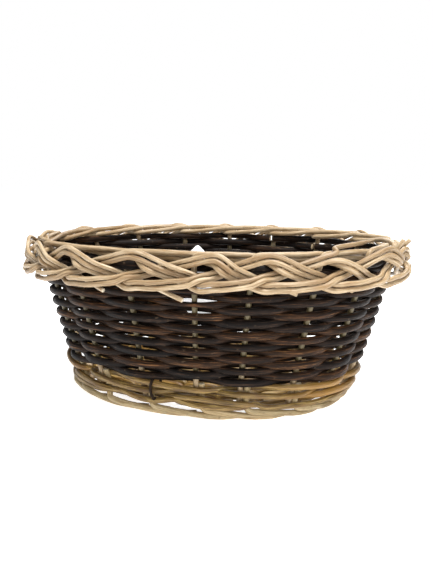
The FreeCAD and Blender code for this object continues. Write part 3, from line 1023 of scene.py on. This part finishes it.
def base_round(number):
    """One round of the base, over and under the sticks."""
    rng = random.Random(800 + number)
    share = (number + FIRST_ROUND) / EDGE_ROUND
    first = (ROUND_START + ROUND_NEXT * number) % STAKES
    station = np.linspace(first + ROUND_GAP, first + STAKES - ROUND_GAP, ROUND_POINTS)
    line = spoke_points(station, share)
    nearest = np.round(station).astype(int) % STAKES
    if number < GROUPED_ROUNDS:
        nearest = ((nearest + 1) % STAKES) // 3
    side = np.where((nearest + number) % 2 == 1, 1.0, -1.0)
    line[:, 2] = FLOOR_Z + side * ROUND_LIFT
    line = eased(evenly(line), ROUND_BEND)
    return Rod(line, *widths(rng, *ROUND_WIDTHS), rng)


def base_stick(station, partner, rng):
    """A stick of the base, straight through the slath and bent to its spokes."""
    points = [spot(station, STICK_END, FLOOR_Z), slath_point(station),
              slath_point(partner), spot(partner, STICK_END, FLOOR_Z)]
    return Rod(eased(evenly(points), STICK_BEND), *STICK_WIDTHS, rng)


def cross_sticks():
    rng = random.Random(61)
    return [base_stick(station, CROSS_PARTNER - station, rng)
            for station in CROSS_STICKS]


def long_sticks():
    rng = random.Random(62)
    rods = []
    for station in LONG_STICKS:
        partner = LONG_PARTNER - station
        if station > LONG_PARTNER:
            partner += STAKES
        rods.append(base_stick(station, partner, rng))
    return rods


# ---- tie and tag

def bark_tie():
    """A thin strip of bark bound once round the waling."""
    rng = random.Random(41)
    points = []
    for base, places in ((TIE_LOW_Z, TIE_UP), (TIE_HIGH_Z, TIE_OVER),
                         (TIE_LOW_Z, TIE_UNDER)):
        points += [spot(TIE_STATION + ahead, out, base + above)
                   for ahead, out, above in places]
    return Rod(eased(evenly(points), TIE_BEND), *TIE_WIDTHS, rng)


def blank_tag(material):
    """A square of plain card with rounded corners, one corner up."""
    top = spot(TAG_STATION, TAG_BEHIND, TAG_TOP_Z)
    low = spot(TAG_STATION, TAG_BEHIND, TAG_LOW_Z)
    up = (top - low) / np.linalg.norm(top - low)
    inward = spot(TAG_STATION, TAG_BEHIND - 10, TAG_TOP_Z) - top
    across = np.cross(up, inward)
    across /= np.linalg.norm(across)
    inward = np.cross(across, up)
    reach = TAG_SIDE / math.sqrt(2)
    centre = top - up * reach
    one = (up + across) / math.sqrt(2)
    two = (up - across) / math.sqrt(2)
    straight = TAG_SIDE / 2 - TAG_CORNER
    outline = []
    for sx, sy, turn in ((1, 1, 0), (-1, 1, 1), (-1, -1, 2), (1, -1, 3)):
        for k in range(TAG_CORNER_STEPS + 1):
            angle = math.pi / 2 * (turn + k / TAG_CORNER_STEPS)
            along = sx * straight + TAG_CORNER * math.cos(angle)
            aside = sy * straight + TAG_CORNER * math.sin(angle)
            outline.append(centre + one * along + two * aside)
    outline = np.array(outline)
    count = len(outline)
    points = np.vstack([outline, outline + inward * TAG_THICK])
    faces = [tuple(range(count)), tuple(range(2 * count - 1, count - 1, -1))]
    for k in range(count):
        after = (k + 1) % count
        faces.append((after, k, k + count, after + count))
    mesh = bpy.data.meshes.new("card_tag")
    mesh.from_pydata(points * MM, [], faces)
    mesh.materials.append(material)
    mesh.update()
    piece = finished("card_tag", mesh, "white_card", "blank_tag")
    bevel = piece.modifiers.new("soft_edge", "BEVEL")
    bevel.width = 0.15 * MM
    bevel.segments = 2


# ---- the studio

def build_basket():
    buff = buff_willow()
    brown = brown_willow()
    gold = golden_willow()
    stakes = [stake_rod(number) for number in range(STAKES)]
    rows = [siding_row(row) for row in range(SIDING_ROWS)]
    settle(stakes, [rod for row in rows[-SETTLE_ROWS:] for rod in row])
    for number, rod in enumerate(stakes):
        name = "%02d" % (number + 1)
        willow_piece("willow_stake_" + name, [rod], buff,
                     "buff_willow", "stake_" + name)
    for row, rods in enumerate(rows):
        name = "%02d" % (row + 1)
        willow_piece("bark_siding_" + name, rods, brown,
                     "brown_willow", "siding_row_" + name)
    for row in range(WALE_ROWS):
        willow_piece("golden_waling_%d" % (row + 1), waling_row(row), gold,
                     "golden_willow", "waling_row_%d" % (row + 1))
    willow_piece("golden_edge_rod", [edge_rod()], gold, "golden_willow", "edge_rod")
    willow_piece("foot_rods", [foot_rod(n) for n in range(STAKES)], pale_willow(),
                 "golden_willow", "foot_border")
    willow_piece("slath_sticks", cross_sticks() + long_sticks(), buff,
                 "buff_willow", "base_sticks")
    willow_piece("binding_rounds", [base_round(n) for n in range(GROUPED_ROUNDS)],
                 gold, "golden_willow", "slath_binding")
    for number in range(GROUPED_ROUNDS, BASE_ROUNDS):
        name = "%02d" % (number + 1)
        willow_piece("base_weave_" + name, [base_round(number)], gold,
                     "golden_willow", "base_round_" + name)
    willow_piece("bark_binding", [bark_tie()], dark_bark(), "dark_bark", "bark_tie")
    blank_tag(white_card())


def floor():
    """A plain pale floor."""
    size = 6.0
    mesh = bpy.data.meshes.new("floor")
    mesh.from_pydata([(-size, -size, 0), (size, -size, 0), (size, size, 0),
                      (-size, size, 0)], [], [(0, 1, 2, 3)])
    look = Look("pale_floor")
    place = look.nodes.new("ShaderNodeTexCoord").outputs["Object"]
    cloud = look.noise(place, 3.0)
    pale = look.ramp(cloud, [(0.0, (0.90, 0.90, 0.90)), (1.0, (0.93, 0.93, 0.93))])
    look.feed(pale, "Base Color")
    look.shader.inputs["Roughness"].default_value = 0.9
    look.shader.inputs["Specular IOR Level"].default_value = 0.1
    look.shader.inputs["Emission Color"].default_value = (1, 1, 1, 1)
    look.shader.inputs["Emission Strength"].default_value = 0.84
    mesh.materials.append(look.material)
    placed("floor", mesh)


def softbox(name, place, aim, size, power, colour=(1, 1, 1)):
    data = bpy.data.lights.new(name, "AREA")
    data.shape = "SQUARE"
    data.size = size
    data.energy = power
    data.color = colour
    lamp = placed(name, data)
    lamp.location = place
    lamp.rotation_euler = (Vector(aim) - Vector(place)).to_track_quat(
        "-Z", "Y").to_euler()


def studio():
    """Soft light, and a white surround that only the camera sees."""
    world = bpy.data.worlds.new("surround")
    world.use_nodes = True
    nodes = world.node_tree.nodes
    links = world.node_tree.links
    seen = nodes["Background"]
    seen.inputs["Color"].default_value = (1, 1, 1, 1)
    seen.inputs["Strength"].default_value = 1.0
    gives = nodes.new("ShaderNodeBackground")
    gives.inputs["Color"].default_value = (0.93, 0.96, 1.0, 1)
    gives.inputs["Strength"].default_value = 0.18
    ray = nodes.new("ShaderNodeLightPath")
    mix = nodes.new("ShaderNodeMixShader")
    links.new(ray.outputs["Is Camera Ray"], mix.inputs["Fac"])
    links.new(gives.outputs["Background"], mix.inputs[1])
    links.new(seen.outputs["Background"], mix.inputs[2])
    links.new(mix.outputs["Shader"], nodes["World Output"].inputs["Surface"])
    bpy.context.scene.world = world
    centre = (0, 0, 0.08)
    softbox("overhead", (0.25, -0.25, 1.5), centre, 0.55, 39)
    softbox("front_right", (1.05, -1.15, 0.85), centre, 0.45, 11)
    softbox("left", (-1.4, -0.3, 0.6), centre, 0.6, 2.6, (0.86, 0.93, 1.0))
    softbox("back", (-0.2, 1.4, 0.9), centre, 0.9, 12)
    view = bpy.context.scene.view_settings
    view.view_transform = "Standard"
    view.look = "None"


# The viewpoint: distance, direction and tilt of the camera about the basket
VIEW_DISTANCE = 0.700
VIEW_SIDE = math.radians(25.0)
VIEW_HEIGHT = 0.217
VIEW_TURN = math.radians(0.40)
VIEW_TILT = math.radians(9.78)
VIEW_ROLL = math.radians(-0.2)
LENS = 43.7


def camera():
    data = bpy.data.cameras.new("view")
    data.lens = LENS
    data.sensor_width = 36
    data.sensor_fit = "AUTO"
    data.clip_start = 0.01
    eye = placed("view", data)
    heading = -VIEW_SIDE + VIEW_TURN
    ahead = Vector((math.sin(heading) * math.cos(VIEW_TILT),
                    math.cos(heading) * math.cos(VIEW_TILT), -math.sin(VIEW_TILT)))
    level = Vector((math.cos(heading), -math.sin(heading), 0))
    above = level.cross(ahead)
    right = math.cos(VIEW_ROLL) * level + math.sin(VIEW_ROLL) * above
    above = right.cross(ahead)
    turn = Matrix((right, above, -ahead)).transposed().to_4x4()
    place = Vector((VIEW_DISTANCE * math.sin(VIEW_SIDE),
                    -VIEW_DISTANCE * math.cos(VIEW_SIDE), VIEW_HEIGHT))
    eye.matrix_world = Matrix.Translation(place) @ turn
    bpy.context.scene.camera = eye


build_basket()
floor()
studio()
camera()
